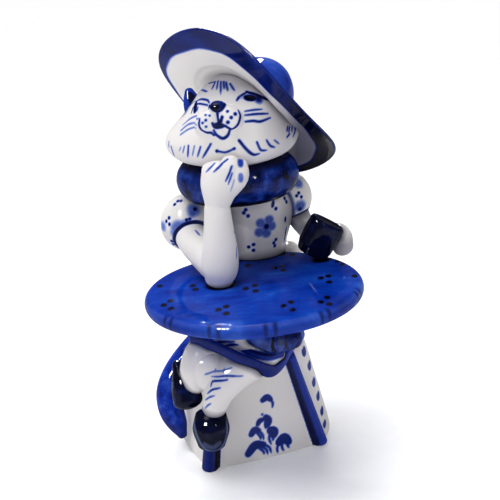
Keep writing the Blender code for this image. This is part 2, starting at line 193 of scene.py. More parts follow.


# %% [markdown]
# ## Painted porcelain
#
# Every piece carries three painted layers, worked out point by point on its own fine mesh. "cobalt" is
# how much paint lies there, from bare white to a pooled black. The second is grey: glaze gathered in
# the creases where two casts are luted, and painted shade in those creases, under the hat and on the
# shaded sides of forms. The third is a paler wash: the shoes' painted rims, and painted light on the
# table's top edge and on the lobes of the skirt's fold. The shader turns the first into colour, darkens
# by the second and lightens by the third. A faint cloudiness at brush width breaks up each stroke, as
# watered paint does.

# %% The painted porcelain material
BRUSH = 1.6  # mm, the width of the clouds in a stroke
CLOUDS = 0.16  # how much the clouds add to or take from the cobalt
PEEL = 5.0  # mm, the waviness of the glaze


def painted_porcelain(name, wash_stops=None, cloud_scale=BRUSH, stretch=(1, 1, 1)):
    """Cobalt by attribute over white, or over a full wash when wash_stops are given."""
    made, tree, shader = principled(name, GLAZE)
    coords = add(tree, "ShaderNodeTexCoord")
    spread = add(tree, "ShaderNodeMapping", [(0, coords.outputs["Object"])], in_3=stretch)
    cloud = add(tree, "ShaderNodeTexNoise", [("Vector", spread.outputs[0])], in_2=1 / (cloud_scale * MM), in_3=4.0,
                in_4=0.6)
    cobalt = add(tree, "ShaderNodeAttribute", attribute_name="cobalt")
    if wash_stops:
        wash = add(tree, "ShaderNodeValToRGB", [(0, cloud.outputs[0])])
        ramp_stops(wash, wash_stops)
        base = wash.outputs[0]
    else:
        white = add(tree, "ShaderNodeRGB")
        white.outputs[0].default_value = linear(BODY_WHITE)
        base = white.outputs[0]
    shift = add(tree, "ShaderNodeMath", [(0, cloud.outputs[0])], operation="MULTIPLY_ADD", in_1=CLOUDS,
                in_2=-CLOUDS / 2)
    uneven = add(tree, "ShaderNodeMath", [(0, cobalt.outputs["Fac"]), (1, shift.outputs[0])], operation="ADD")
    paint = add(tree, "ShaderNodeValToRGB", [(0, uneven.outputs[0])])
    if wash_stops:
        ramp_stops(paint, [(0.3, DEEP), (0.9, NEARLY_BLACK)])
    else:
        ramp_stops(paint, [(0.0, BODY_WHITE), (0.25, THIN_BLUE), (0.5, COBALT), (0.75, DEEP), (1.0, NEARLY_BLACK)])
    cover = add(tree, "ShaderNodeMapRange", [(0, cobalt.outputs["Fac"])], in_1=0.0, in_2=0.8 if wash_stops else 0.06)
    if wash_stops:
        # A wash lightened towards pale blue: the shoes' paler painted rims, and painted light on the table rim and
        # the fold's lobes.
        pale_paint_and_light = add(tree, "ShaderNodeAttribute", attribute_name="pale_paint_and_light")
        lightened = add(tree, "ShaderNodeMix", [("Factor", pale_paint_and_light.outputs["Fac"]), (6, base)], data_type="RGBA",
                    in_7=linear(THIN_BLUE))
        base = lightened.outputs[2]
    mixed = add(tree, "ShaderNodeMix", [("Factor", cover.outputs[0]), (6, base), (7, paint.outputs[0])],
                data_type="RGBA")
    # Grey multiplied over the colour: pooled glaze in the joints, and painted shade in creases and on shaded sides.
    pool = add(tree, "ShaderNodeAttribute", attribute_name="pool")
    darkened = add(tree, "ShaderNodeMix", [("Factor", pool.outputs["Fac"]), (6, mixed.outputs[2])],
                 data_type="RGBA", blend_type="MULTIPLY", in_7=linear(POOL_AND_SHADE_GREY))
    tree.links.new(darkened.outputs[2], shader.inputs["Base Color"])
    peel = add(tree, "ShaderNodeTexNoise", [("Vector", coords.outputs["Object"])], in_2=1 / (PEEL * MM), in_3=1.0)
    bump = add(tree, "ShaderNodeBump", [("Height", peel.outputs[0])], in_0=0.12, in_1=0.4 * MM)
    tree.links.new(bump.outputs[0], shader.inputs["Coat Normal"])
    return made


WHITE_WARE = painted_porcelain("white_porcelain_painted_in_cobalt")
TABLE_WASH = painted_porcelain("cobalt_wash_brushed_on_a_flat",
                               [(0.30, "#06237E"), (0.45, "#08309A"), (0.6, "#103EA8"), (0.75, "#2C58BE")],
                               cloud_scale=15, stretch=(1, 1.6, 1))
SCARF_WASH = painted_porcelain("cobalt_wash_blotted",
                               [(0.36, "#03071F"), (0.44, "#091850"), (0.55, "#132C7C"), (0.7, "#2C489E")],
                               cloud_scale=5.5)
TAIL_WASH = painted_porcelain("cobalt_wash_thick",
                              [(0.36, "#06145C"), (0.5, "#12309A"), (0.64, "#3454B8")], cloud_scale=9)
CROWN_WASH = painted_porcelain("cobalt_wash_thin",
                               [(0.3, "#152C88"), (0.5, "#2342A8"), (0.72, "#4464BC")], cloud_scale=14)
NAVY_WASH = painted_porcelain("cobalt_wash_pooled",
                              [(0.35, "#020310"), (0.58, "#050A2A"), (0.75, "#0F1F5C")], cloud_scale=6)
print("materials:", len(bpy.data.materials))

# %% Floor material
paper, paper_tree, paper_shader = principled(
    "matt_white_paper", {"Roughness": 0.9, "Specular IOR Level": 0.1, "Emission Strength": 0.1})
grain = add(paper_tree, "ShaderNodeTexNoise", in_2=900.0)
paper_ramp = add(paper_tree, "ShaderNodeValToRGB", [(0, grain.outputs[0])])
ramp_stops(paper_ramp, [(0.3, "#F1F1F2"), (0.7, "#F4F4F5")])
for socket in ("Base Color", "Emission Color"):
    paper_tree.links.new(paper_ramp.outputs[0], paper_shader.inputs[socket])
floor.data.materials.append(paper)

# %% [markdown]
# ## How a cast is modelled
#
# A clay modeller rolls lumps, presses them together and smooths the joins with a wet finger. The same
# three steps work here. A limb starts as a flat disc, whose face is extruded ring after ring along the
# limb. Balls are sphere primitives. The lumps of one cast are joined, a voxel Remesh turns them into
# one even skin, and a Smooth softens the creases. The even skin is also what the painting needs, since
# each stroke is stored on the points of the mesh.

# %% Modelling helpers
def focus(*objects):
    """Selects only these objects and makes the first one active."""
    bpy.ops.object.select_all(action="DESELECT")
    for one in objects:
        one.select_set(True)
    bpy.context.view_layer.objects.active = objects[0]


def apply_modifier(made, kind, **settings):
    focus(made)
    modifier = made.modifiers.new(kind.lower(), kind)
    for key, value in settings.items():
        setattr(modifier, key, value)
    bpy.ops.object.modifier_apply(modifier=modifier.name)


def curve_value(a, b, c, d, t):
    """A smooth value between b and c, with a and d as neighbours."""
    return 0.5 * (2 * b + (c - a) * t + (2 * a - 5 * b + 4 * c - d) * t * t + (3 * b - a - 3 * c + d) * t**3)


def smooth_row(rows, steps):
    """More rows between the given ones, along a smooth curve."""
    rows = [Vector(r) for r in rows]
    ends = [2 * rows[0] - rows[1]] + rows + [2 * rows[-1] - rows[-2]]
    fine = []
    for a, b, c, d in zip(ends, ends[1:], ends[2:], ends[3:]):
        fine += [curve_value(a, b, c, d, k / steps) for k in range(steps)]
    return fine + [rows[-1]]


def limb_rings(stations, side, upright, steps, bulge, sides):
    """Rings of points along a limb, with rounded ends, from (x, y, z, half width, half depth)."""
    spine = smooth_row([s[:3] for s in stations], steps)
    sizes = smooth_row([(s[3], s[4], 0) for s in stations], steps)
    frames = []
    for i, centre in enumerate(spine):
        t = spine[min(i + 1, len(spine) - 1)] - spine[max(i - 1, 0)]
        t = Vector((0, 0, math.copysign(1, t.z))) if upright else t.normalized()
        u = (Vector(side) - t * t.dot(Vector(side))).normalized()
        frames.append((centre, t, u, t.cross(u), sizes[i].x, sizes[i].y))
    start, end = frames[0], frames[-1]
    tips = [bulge if bulge is not None else 0.8 * min(f[4], f[5]) for f in (start, end)]
    caps = [math.radians(a) for a in (80, 60, 40, 20)]
    rows = [(start[0] - start[1] * tips[0] * math.sin(k), *start[2:4], start[4] * math.cos(k), start[5] * math.cos(k))
            for k in caps]
    rows += [(f[0], *f[2:]) for f in frames]
    rows += [(end[0] + end[1] * tips[1] * math.sin(k), *end[2:4], end[4] * math.cos(k), end[5] * math.cos(k))
             for k in reversed(caps)]
    turn = [2 * math.pi * i / sides for i in range(sides)]
    return [[(c + u * (a * math.cos(t)) + v * (b * math.sin(t))) * MM for t in turn] for c, u, v, a, b in rows]


def extrude_rings(rings):
    """A disc primitive, extruded once for each ring; each new ring is set down where the limb needs it."""
    bpy.ops.object.select_all(action="DESELECT")
    bpy.ops.mesh.primitive_circle_add(vertices=len(rings[0]), radius=10 * MM, fill_type="NGON")
    made = bpy.context.object
    for vertex, place in zip(made.data.vertices, rings[0]):
        vertex.co = place
    bpy.ops.object.mode_set(mode="EDIT")
    bpy.ops.mesh.select_all(action="SELECT")
    before = rings[0]
    for ring in rings[1:]:
        bpy.ops.mesh.extrude_region()
        mesh = bmesh.from_edit_mesh(made.data)
        place = {tuple(p): i for i, p in enumerate(before)}
        for vertex in (v for v in mesh.verts if v.select):
            vertex.co = ring[place[tuple(vertex.co)]]
        bmesh.update_edit_mesh(made.data)
        before = ring
    bpy.ops.mesh.select_all(action="SELECT")
    bpy.ops.mesh.normals_make_consistent(inside=False)
    bpy.ops.object.mode_set(mode="OBJECT")
    return made


def limb(stations, side=(1, 0, 0), upright=False, steps=3, bulge=None, sides=24):
    return extrude_rings(limb_rings(stations, side, upright, steps, bulge, sides))


def ball(centre, radii, turn=(0, 0, 0), segments=32):
    """A sphere primitive pressed to an egg and turned, in millimetres and degrees."""
    bpy.ops.object.select_all(action="DESELECT")
    bpy.ops.mesh.primitive_uv_sphere_add(segments=segments, ring_count=segments // 2, radius=1,
                                         location=Vector(centre) * MM, scale=Vector(radii) * MM,
                                         rotation=[math.radians(a) for a in turn])
    made = bpy.context.object
    bpy.ops.object.transform_apply(location=True, rotation=True, scale=True)
    return made


def cast(node, lumps, grain=0.5, softness=6, finish=WHITE_WARE):
    """Joins lumps into one skin of even grain, smooths the joins, and puts the cast in its node's place."""
    focus(*lumps)
    if len(lumps) > 1:
        bpy.ops.object.join()
    made = lumps[0]
    bpy.ops.object.transform_apply(location=True, rotation=True, scale=True)
    apply_modifier(made, "REMESH", mode="VOXEL", voxel_size=grain * MM, adaptivity=0)
    apply_modifier(made, "SMOOTH", factor=0.5, iterations=softness)
    return settle(made, node, finish)


def settle(made, node, finish):
    """Name, smooth shading, material, and the frame's book-keeping for a finished piece."""
    made.name = made.data.name = f"glazed_{node}"
    focus(made)
    bpy.ops.object.shade_smooth()
    made.data.materials.clear()
    made.data.materials.append(finish)
    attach(made, "root")
    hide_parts(node)
    low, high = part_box(node)
    points = np.array([v.co for v in made.data.vertices])
    out = max(float(np.max(np.array(low) - points.min(0))), float(np.max(points.max(0) - np.array(high))))
    print(f"{made.name}: {len(made.data.vertices)} points, {out * 1000:+.1f} mm against its CAD box")
    return made


# %% [markdown]
# ## How it is painted
#
# The painter works with a pointed brush on the dry ware. A stroke starts with a full belly and
# ends in a tip. Here a stroke is a short list of points in millimetres on a flat canvas held in front
# of the piece, which is then pressed onto the piece, point by point. Every mesh point near the stroke
# takes paint from it, less towards its edge.

# %% Painting helpers
TREES = {}  # search trees of the pieces, made once


def rise(value, width):
    """Grows from 0 to 1 while the value goes from 0 to the width."""
    return np.clip(value / width, 0, 1)


class Brush:
    """Paints one piece. Strokes collect in an array, one value for each point of the mesh."""

    def __init__(self, made, origin=(0, -200, 0), right=(1, 0, 0), up=(0, 0, 1)):
        self.made = made
        flat = np.empty(len(made.data.vertices) * 3)
        made.data.vertices.foreach_get("co", flat)
        self.points = flat.reshape(-1, 3) / MM
        self.cobalt, self.pool, self.pale_paint_and_light = np.zeros((3, len(self.points)))
        self.origin, self.right, self.up = Vector(origin), Vector(right), Vector(up)
        self.forward = self.up.cross(self.right)  # from the canvas straight onto the piece

    def on(self, s, t):
        """The place on the piece behind a canvas point, or None where the canvas overhangs."""
        start = self.origin + self.right * s + self.up * t
        hit, place, _, _ = self.made.ray_cast(start * MM, self.forward)
        return np.array(place) / MM if hit else None

    def lay(self, near, amount):
        """Where two strokes cross, the fuller one shows."""
        self.cobalt[near] = np.maximum(self.cobalt[near], amount)

    def paint_shade(self, amount):
        """Painted shade: grey over the side of a form that lies in shade."""
        self.pool = np.maximum(self.pool, amount)

    def stroke(self, points, width=0.6, dark=0.7, ends=(0.5, 0.2), soft=0.3):
        """A brushed line through canvas points; ends are the share of the width at start and finish."""
        places = [self.on(p.x, p.y) for p in smooth_row([(*q, 0) for q in points], 6)]
        places = [p for p in places if p is not None]
        if len(places) < 2:
            return
        count = len(places)
        for k in range(count - 1):
            a, b = places[k], places[k + 1]
            share = k / max(count - 2, 1)
            belly = math.sin(math.pi * min(max(share, 0.02), 0.98)) ** 0.5
            edge = ends[0] + (ends[1] - ends[0]) * share
            half = width / 2 * (edge + (1 - edge) * belly)
            self.segment(a, b, half, dark, soft)

    def strokes(self, *rows):
        """Several strokes, each as (points, width, dark, ends, soft), of which the last ones may be left out."""
        for row in rows:
            self.stroke(*row)

    def segment(self, a, b, half, dark, soft):
        """A short straight piece of a stroke, between two places on the piece."""
        reach = half + soft + np.abs(b - a).max()
        near = np.flatnonzero((np.abs(self.points - (a + b) / 2) < reach + 0.5).all(1))
        if not len(near):
            return
        p = self.points[near]
        along = b - a
        t = rise((p - a) @ along, max(along @ along, 1e-9))
        away = np.linalg.norm(p - (a + t[:, None] * along), axis=1)
        self.lay(near, dark * rise(half + soft - away, 2 * soft))

    def dot(self, s, t, radius=0.75, dark=0.85, soft=0.3):
        place = self.on(s, t)
        if place is not None:
            self.segment(place, place + 0.01, radius, dark, soft)

    def dots(self, *rows):
        for row in rows:
            self.dot(*row)

    def lighten_wash(self, path, radius, amount):
        """Lightens a wash along a path on the canvas, for a paler painted rim and for painted light."""
        for p in smooth_row([(*q, 0) for q in path], 6):
            place = self.on(p.x, p.y)
            if place is not None:
                away = np.linalg.norm(self.points - place, axis=1)
                self.pale_paint_and_light = np.maximum(self.pale_paint_and_light, amount * np.clip(1.5 - away / radius, 0, 1))

    def seam(self, others, reach=0.9, dark=0.0, pool=1.0):
        """Greys this cast near another, as glaze pooled in the joint and as painted shade around it; where dark is
        given, a painter's line is drawn there too.
        """
        for other in others:
            if other.name not in TREES:
                TREES[other.name] = BVHTree.FromObject(other, bpy.context.evaluated_depsgraph_get())
            corners = np.array(other.bound_box) / MM
            low, high = corners.min(0) - reach, corners.max(0) + reach
            for i in np.flatnonzero(((self.points > low) & (self.points < high)).all(1)):
                place, _, _, away = TREES[other.name].find_nearest(Vector(self.points[i] * MM), reach * MM)
                if place is not None:
                    share = 1 - away / (reach * MM)
                    self.pool[i] = max(self.pool[i], pool * share)
                    if dark:
                        self.cobalt[i] = max(self.cobalt[i], dark * min(share * 2, 1))

    def finish(self):
        for name, values in (("cobalt", self.cobalt), ("pool", self.pool), ("pale_paint_and_light", self.pale_paint_and_light)):
            layer = self.made.data.attributes.new(name, "FLOAT", "POINT")
            layer.data.foreach_set("value", np.clip(values, 0, 1))
        print(f"{self.made.name}: paint on {int((self.cobalt > 0.1).sum())} points")


# %% [markdown]
# Round things are thrown or pressed in a turned mould. They are the same extrusion, with rings that
# share one axis and follow the outline of the turned form.

# %% Turned forms
def axes_of(axis):
    """Two directions across an axis, the first level with the ground."""
    w = Vector(axis).normalized()
    u = Vector((0, 1, 0)).cross(w).normalized()
    return u, w.cross(u), w


def turned(outline, centre, axis=(0, 0, 1), sides=128, scale=(1, 1), lift=None):
    """Rings about an axis, from an outline of (radius, height); lift waves a ring up or down."""
    u, v, w = axes_of(axis)
    rings = []
    for r, h in outline:
        ring = []
        for i in range(sides):
            t = 2 * math.pi * i / sides
            up = h + (lift(t, r) if lift else 0)
            place = Vector(centre) + (u * math.cos(t) * scale[0] + v * math.sin(t) * scale[1]) * r + w * up
            ring.append(place * MM)
        rings.append(ring)
    return extrude_rings(rings)


def arc(r, h, radius, start, stop, steps=6, squash=1.0):
    """Points of an outline round a corner."""
    angles = [math.radians(start + (stop - start) * k / steps) for k in range(steps + 1)]
    return [(r + radius * math.cos(a), h + radius * squash * math.sin(a)) for a in angles]


# %% [markdown]
# ## The seat
#
# The block is one tapered cast. Its sides bow out a little, as slip casts do when they dry, and a
# quarter-round post is moulded up each corner. The bottom edge is wiped round with a sponge, so that
# the foot doesn't chip.

# %% The block
BLOCK_HEIGHT = 38.0
BLOCK_FOOT = ((-15.6, -28.1), (28.1, -14.6), (27.6, 16.5), (-29.0, 14.0))
BLOCK_HEAD = ((-10.0, -18.5), (18.5, -12.5), (21.5, 14.0), (-17.0, 11.0))
BLOCK_BOW = (2.2, 5.0, 2.2, 2.2)  # how far each side swells: front, right, back, left
POST_RADIUS, POST_TAPER = 3.4, 0.25  # the share of its radius that a post loses on the way up
POST_FOOT, POST_HEAD = 0.965, 0.96  # how far out towards the block's corners its ends stand
POST_HEIGHT = BLOCK_HEIGHT - 0.6


def block_ring(share, inset=0.0, per_side=16):
    corners = [Vector((*f, 0)).lerp(Vector((*h, 0)), share) for f, h in zip(BLOCK_FOOT, BLOCK_HEAD)]
    middle = sum(corners, Vector()) / 4
    ring = []
    for a, b, bow in zip(corners, corners[1:] + corners[:1], BLOCK_BOW):
        out = Vector(((b - a).y, -(b - a).x, 0)).normalized()
        for k in range(per_side):
            t = k / per_side
            p = a.lerp(b, t) + out * bow * 4 * t * (1 - t)
            ring.append((p - (p - middle).normalized() * inset + Vector((0, 0, share * BLOCK_HEIGHT))) * MM)
    return ring


def post(corner):
    foot = Vector((*BLOCK_FOOT[corner], 0)) * POST_FOOT
    head = Vector((BLOCK_HEAD[corner][0] * POST_HEAD, BLOCK_HEAD[corner][1] * POST_HEAD, POST_HEIGHT))
    levels = [(foot, POST_RADIUS - 0.6), (foot.lerp(head, 0.02), POST_RADIUS)]
    levels += [(foot.lerp(head, k), POST_RADIUS * (1 - POST_TAPER * k)) for k in (0.25, 0.5, 0.75, 0.98)]
    turn = [2 * math.pi * i / 40 for i in range(40)]
    rings = [[(c + Vector((math.cos(t), math.sin(t), 0)) * r) * MM for t in turn] for c, r in levels]
    return extrude_rings(rings)


block_rings = [block_ring(0.0, 0.9), block_ring(0.012, 0.25)] + [block_ring(k / 8, 0.0) for k in range(1, 8)]
block_rings += [block_ring(0.985, 0.3), block_ring(1.0, 1.2)]
seat_block = cast("seat_block", [extrude_rings(block_rings)] + [post(c) for c in range(4)], grain=0.42, softness=3)

# %% [markdown]
# ## Skirt, legs, shoes and tail
#
# The skirt is a squat bell with the lap pressed forward out of it. The legs cross in front of the block,
# with the near knee drawn down to a thin ankle. The shoes are dark rounded lumps with a paler painted
# rim, and the tail lies round the block's corner.

# %% Skirt and its hem
skirt = cast("skirt", [
    ball((7.5, 13, 53.5), (22, 15.5, 17.5)),
    ball((2, -9.5, 50.5), (20, 19.5, 13.6), turn=(0, 8, 0)),
    ball((21.5, 18, 66), (6.3, 7, 6.6)),
], grain=0.5, softness=12)

HEM_ROUTE = ((-17, -22.5, 51.5), (-8.6, -29, 50), (0, -32.5, 46), (7.5, -30.5, 40.5), (11.5, -26.5, 37.4),
             (15.5, -21.5, 38.6), (19, -15.5, 41.5), (23.7, -9, 43.5))
skirt_hem = cast("skirt_hem", [
    limb([(*p, 2.6, 1.3) for p in HEM_ROUTE], side=(0.1, -0.35, 1), steps=5),
], grain=0.35, softness=3)

skirt_fold = cast("skirt_fold", [
    limb([(6, -28.5, 53, 4, 3.4), (11.5, -27, 49, 4, 3.4), (15.5, -22, 46.5, 4, 3.4),
          (20.5, -17, 45.8, 4, 3.4)], side=(0, 0, 1)),
], grain=0.35, softness=3, finish=SCARF_WASH)

# %% Legs
leg_left = cast("leg_left", [
    limb([(12, -19.5, 41.5, 5.5, 5), (4.5, -24.5, 41.5, 7.4, 7), (-3.5, -27.5, 38, 7.6, 7),
          (-9, -30.5, 32, 5.8, 5.4), (-12, -32.5, 25, 4.1, 4.1)], side=(0, -1, 0.3), steps=5, sides=40),
    ball((-12.5, -24.5, 39.5), (7.5, 7, 8.5)),
], grain=0.35, softness=6)
leg_right = cast("leg_right", [
    limb([(-7, -17, 46, 6, 6), (-13, -21.5, 44.5, 7, 7), (-16.5, -24, 40, 6.2, 6.2),
          (-18.6, -25.5, 34.5, 4.8, 4.8)], side=(0, -1, 0.3), steps=5, sides=40),
], grain=0.4, softness=6)

# %% Shoes
shoe_left = cast("shoe_left", [
    limb([(-12.6, -31.5, 24.5, 5.8, 4.6), (-12.9, -34, 20, 6.8, 5.6), (-13.2, -35.4, 14.8, 5.2, 4.2)],
         bulge=2.8, steps=5, sides=40),
], grain=0.35, softness=4, finish=NAVY_WASH)
shoe_right = cast("shoe_right", [
    limb([(-23.2, -21.5, 39.5, 2.4, 3), (-21.7, -24.3, 34.5, 4.8, 5), (-20.7, -26.2, 28.6, 5.6, 5.2)],
         bulge=3.4, steps=5, sides=40),
], grain=0.35, softness=4, finish=NAVY_WASH)

# %% Tail
tail = cast("tail", [
    limb([(-9, 9, 42, 4.6, 4.6), (-16.8, 5, 38, 4.8, 4.8), (-24.2, 1, 31, 5, 5), (-28, -2, 25.5, 5.1, 5.1),
          (-29.4, -3.5, 20.5, 5.2, 5.2), (-28.9, -6.2, 15.2, 5, 4.9), (-26.9, -9, 10.6, 3.8, 3.8),
          (-25.4, -11, 7.2, 2, 2)], side=(0, 1, 0), steps=4, sides=40),
], grain=0.45, softness=4, finish=TAIL_WASH)

# %% [markdown]
# ## The table
#
# One flat slab with a rounded rim, turned about its own upright axis.

# %% Table top
TABLE_CENTRE = (7.1, -25.1)
TABLE_RADIUS, TABLE_TOP, TABLE_THICK = 39.4, 71.0, 5.6
half = TABLE_THICK / 2
rim = arc(TABLE_RADIUS - half * 0.85, TABLE_TOP - half, half * 0.85, -90, 90, 14, 1 / 0.85)
flat = (0.5, 12, 24, 33)
table_outline = [(r, TABLE_TOP - TABLE_THICK) for r in flat] + rim + [(r, TABLE_TOP) for r in flat[::-1]]
table_top = cast("table_top", [turned(table_outline, (*TABLE_CENTRE, 0), sides=160)], grain=0.42, softness=4,
                 finish=TABLE_WASH)

# %% [markdown]
# ## The body above the table
#
# The bodice is an upright form that widens to the bust and closes to a neck. The scarf is one fat roll
# round that neck, and the head sits on it like an egg in a cup.

# %% Torso and scarf
torso = cast("torso", [
    limb([(9, 15, 58, 12, 10), (9, 15, 66, 12.2, 11.5), (9, 15, 74, 12.6, 12.5), (9, 14.5, 82, 15, 13.2),
          (9, 14, 90, 16.6, 13), (8, 12, 97, 13.5, 11.5), (7, 7.5, 103, 6.5, 6.5), (6, 4, 109, 6.5, 6.5)],
         upright=True, steps=4, bulge=1.5, sides=48),
], grain=0.42, softness=6)

SCARF_CENTRE = (4.9, 3, 104.6)
roll = [(15 + 8.0 * math.cos(math.radians(a)), 8.2 * math.sin(math.radians(a))) for a in range(180, 541, 15)]
scarf = cast("scarf", [turned(roll, SCARF_CENTRE, (0, -0.04, 1), sides=96, scale=(1, 0.83))],
             grain=0.45, softness=4, finish=SCARF_WASH)

# %% [markdown]
# ## The head
#
# The skull is a broad pear, wide at the cheeks. The muzzle is pressed on: two round pads, a small nose
# above them and a chin below. A pointed tuft of cheek fur runs out under the hat.

# %% Head and ear
head = cast("head", [
    limb([(4.4, 0, 111.5, 14.2, 12.5), (4.1, -0.5, 113.5, 19.9, 15.5), (4, -0.8, 116.5, 23.2, 17.4),
          (4.1, -0.5, 120.5, 24.5, 18), (4.4, 0, 124.8, 22.4, 17.8), (5.2, 0.3, 129.5, 18.3, 17),
          (6, 0.5, 134.5, 14.8, 15.6), (6.2, 0.8, 139, 10.8, 12), (6.2, 1, 142.2, 5.6, 6)],
         upright=True, steps=3, bulge=1.0, sides=72),
    limb([(14, -1.5, 121.5, 8, 8), (21, -1.5, 121.3, 6.4, 7.4), (27, -2, 121, 3.2, 4.2)], side=(0, 0, 1),
         bulge=1.8),
    ball((-0.2, -14.2, 127.5), (8.4, 4.4, 6)),
    ball((-3.7, -16.2, 129.6), (4.3, 3.3, 4.2)),
    ball((4.1, -16.6, 130.2), (4.6, 3.5, 4.3)),
    ball((0.9, -15.2, 126.2), (3.6, 2.8, 3.2)),
    ball((0.2, -16.4, 134.2), (3.4, 2.8, 2.5)),
], grain=0.32, softness=7)
ear_right = cast("ear_right", [
    limb([(-8, 1.5, 130, 4.4, 2.4), (-9.2, 1.5, 134, 3.4, 2.2), (-10, 2, 138, 1.6, 1.2)],
         side=(1, 0.3, 0.5), bulge=1, steps=5),
], grain=0.32, softness=4)

# %% [markdown]
# ## The hat
#
# A hat is turned like a bowl: a soft crown and a wide thin brim. While the slip is still leather hard,
# the brim is bent by hand into slow waves. Waves grow from nothing at the crown to their full height
# at the rim. Inside, a low step marks the opening of the crown.

# %% Hat
HAT_CENTRE = (9.6, 8, 129.15)
HAT_AXIS = (0.600, 0.542, 0.589)
BRIM_RADIUS, BRIM_THICK = 37.6, 2.0
BRIM_OPENING, BRIM_BEND = 12.0, 0.7  # the hidden inner edge, and where the rim starts to round
BRIM_WAVES = ((2, 1.9, 0.0), (3, 2.5, -12.0))  # waves round the brim, their height, their first crest


def brim_lift(angle, r):
    share = min(r / BRIM_RADIUS, 1)
    return share**2 * sum(height * math.cos(count * (angle - math.radians(crest)))
                          for count, height, crest in BRIM_WAVES)


def brim_side(sign):
    """One face of the brim, from the crown to near the rim, as (radius, height)."""
    rows = []
    for k in range(61):
        r = BRIM_OPENING + (BRIM_RADIUS - BRIM_BEND - BRIM_OPENING) * k / 60
        recess = 0.9 * min(max((21.8 - r) / 1.6, 0), 1) if sign < 0 else 0
        rows.append((r, sign * BRIM_THICK / 2 * (1 - 0.45 * (r / BRIM_RADIUS)**2) + recess))
    return rows


brim_outline = brim_side(-1) + arc(BRIM_RADIUS - BRIM_BEND, 0, 0.62, -75, 75, 6) + brim_side(1)[::-1]
hat_brim = turned(brim_outline, HAT_CENTRE, HAT_AXIS, sides=360, lift=brim_lift)
settle(hat_brim, "hat_brim", WHITE_WARE)

crown_outline = [(0.4, 0.2), (10, 0.2), (17.6, 0.2), (18.5, 0.8), (16, 4), (14.2, 8), (13, 12),
                 (10.8, 16.2), (7.2, 19.8), (3.6, 21.6), (0.4, 22.2)]
crown_rows = [(p.x, p.y) for p in smooth_row([(r, h, 0) for r, h in crown_outline], 3)]
hat_crown = cast("hat_crown", [turned(crown_rows, (10.3, 9, 127.9), HAT_AXIS, sides=96)], grain=0.5, softness=5,
                 finish=CROWN_WASH)

# %% [markdown]
# ## Arms, paws and bag
#
# Puffed sleeves are plain balls with a line for the cuff. The right forearm stands on its elbow and
# carries a closed paw under the chin: the palm, a thumb beside it and a knuckle between their tips. The
# left arm reaches back round the bag.

# %% Sleeves and arms
sleeve_right = cast("sleeve_right", [ball((-16, 8, 87), (10.2, 9.5, 11.2), turn=(0, 20, 0), segments=48)],
                    grain=0.35, softness=3)
arm_right = cast("arm_right", [
    limb([(-15, 5, 84, 6.6, 6.6), (-13.2, -3, 82, 6.3, 6.1), (-9.5, -12, 80, 6.3, 6), (-6, -19, 78, 6.3, 6)],
         steps=4, sides=40),
    limb([(-5, -22.4, 73.4, 5.2, 5), (-4.3, -22.6, 77, 6.5, 6.2), (-3.7, -22.5, 83, 6.5, 6.2),
          (-3.4, -22.5, 92, 5.4, 5.2), (-3.2, -22, 100, 4.6, 4.6)], steps=4, sides=40, bulge=3.4),
], grain=0.4, softness=8)
paw_right = cast("paw_right", [
    limb([(-3, -22, 101, 4.6, 4.4), (-1.8, -21.5, 107, 6.6, 5), (-0.8, -20.5, 113, 6.6, 4.6)],
         bulge=3.2, steps=4, sides=40),
    limb([(1, -21.5, 105, 3.2, 3.2), (5.3, -21, 110, 3.6, 3.3), (5.6, -20.2, 114.4, 3.2, 3)], bulge=2, steps=4),
    ball((2.8, -20.6, 114.2), (3.6, 3.4, 3.8)),
], grain=0.32, softness=5)
sleeve_left = cast("sleeve_left", [ball((24.3, 18, 91), (8.6, 8.8, 9.6), turn=(0, -12, 0), segments=48)],
                   grain=0.4, softness=3)
arm_left = cast("arm_left", [
    limb([(25.5, 17.5, 87, 5.2, 5.2), (28, 15.5, 81, 4.2, 4.4), (32, 12.5, 76.5, 3.8, 4),
          (37.5, 9, 75.5, 3.8, 4)], side=(0, 1, 0), steps=4),
], grain=0.4, softness=4)
paw_left = cast("paw_left", [
    limb([(38, 8.5, 76.5, 4.4, 4.4), (41.6, 4.4, 76.6, 5.4, 4.6), (42.2, -0.6, 74.2, 4.4, 4)],
         side=(0, 0, 1), bulge=2.4, steps=4),
], grain=0.35, softness=4)

# %% Handbag
bag_u = Vector((0.84, 0.05, -0.54)).normalized()
bag_v = (Vector((0, 1, 0)) - bag_u * bag_u.y).normalized()
bag_w = bag_u.cross(bag_v)
bag_middle = Vector((33.6, -2.6, 79.6))


def bag_ring(along, half_u, half_v, sides=48, power=0.72):
    """A rounded box section of the bag."""
    ring = []
    for i in range(sides):
        t = 2 * math.pi * i / sides
        c, s = math.cos(t), math.sin(t)
        a = math.copysign(abs(c) ** power, c) * half_u
        b = math.copysign(abs(s) ** power, s) * half_v
        ring.append((bag_middle + bag_w * along + bag_u * a + bag_v * b) * MM)
    return ring


bag_sections = ((-7.6, 4.6, 3.6), (-7.2, 5.6, 4.4), (-4, 6.6, 5.3), (0, 6.8, 5.3), (3.5, 6.9, 5.2), (5.9, 6.8, 4.9),
                (6.6, 6.4, 4.5), (6.8, 5.6, 3.8), (6.2, 5, 3.2))
handbag = cast("handbag", [extrude_rings([bag_ring(*s) for s in bag_sections])], grain=0.35, softness=3,
               finish=NAVY_WASH)

# %% [markdown]
# ### The face
#
# The face is drawn first and decides everything. Nose and mouth are nearly black. The pads are outlined
# with a full brush, and the whiskers are single pulls, heavy at the muzzle. Canvas points are
# millimetres across and up, seen straight from the front.

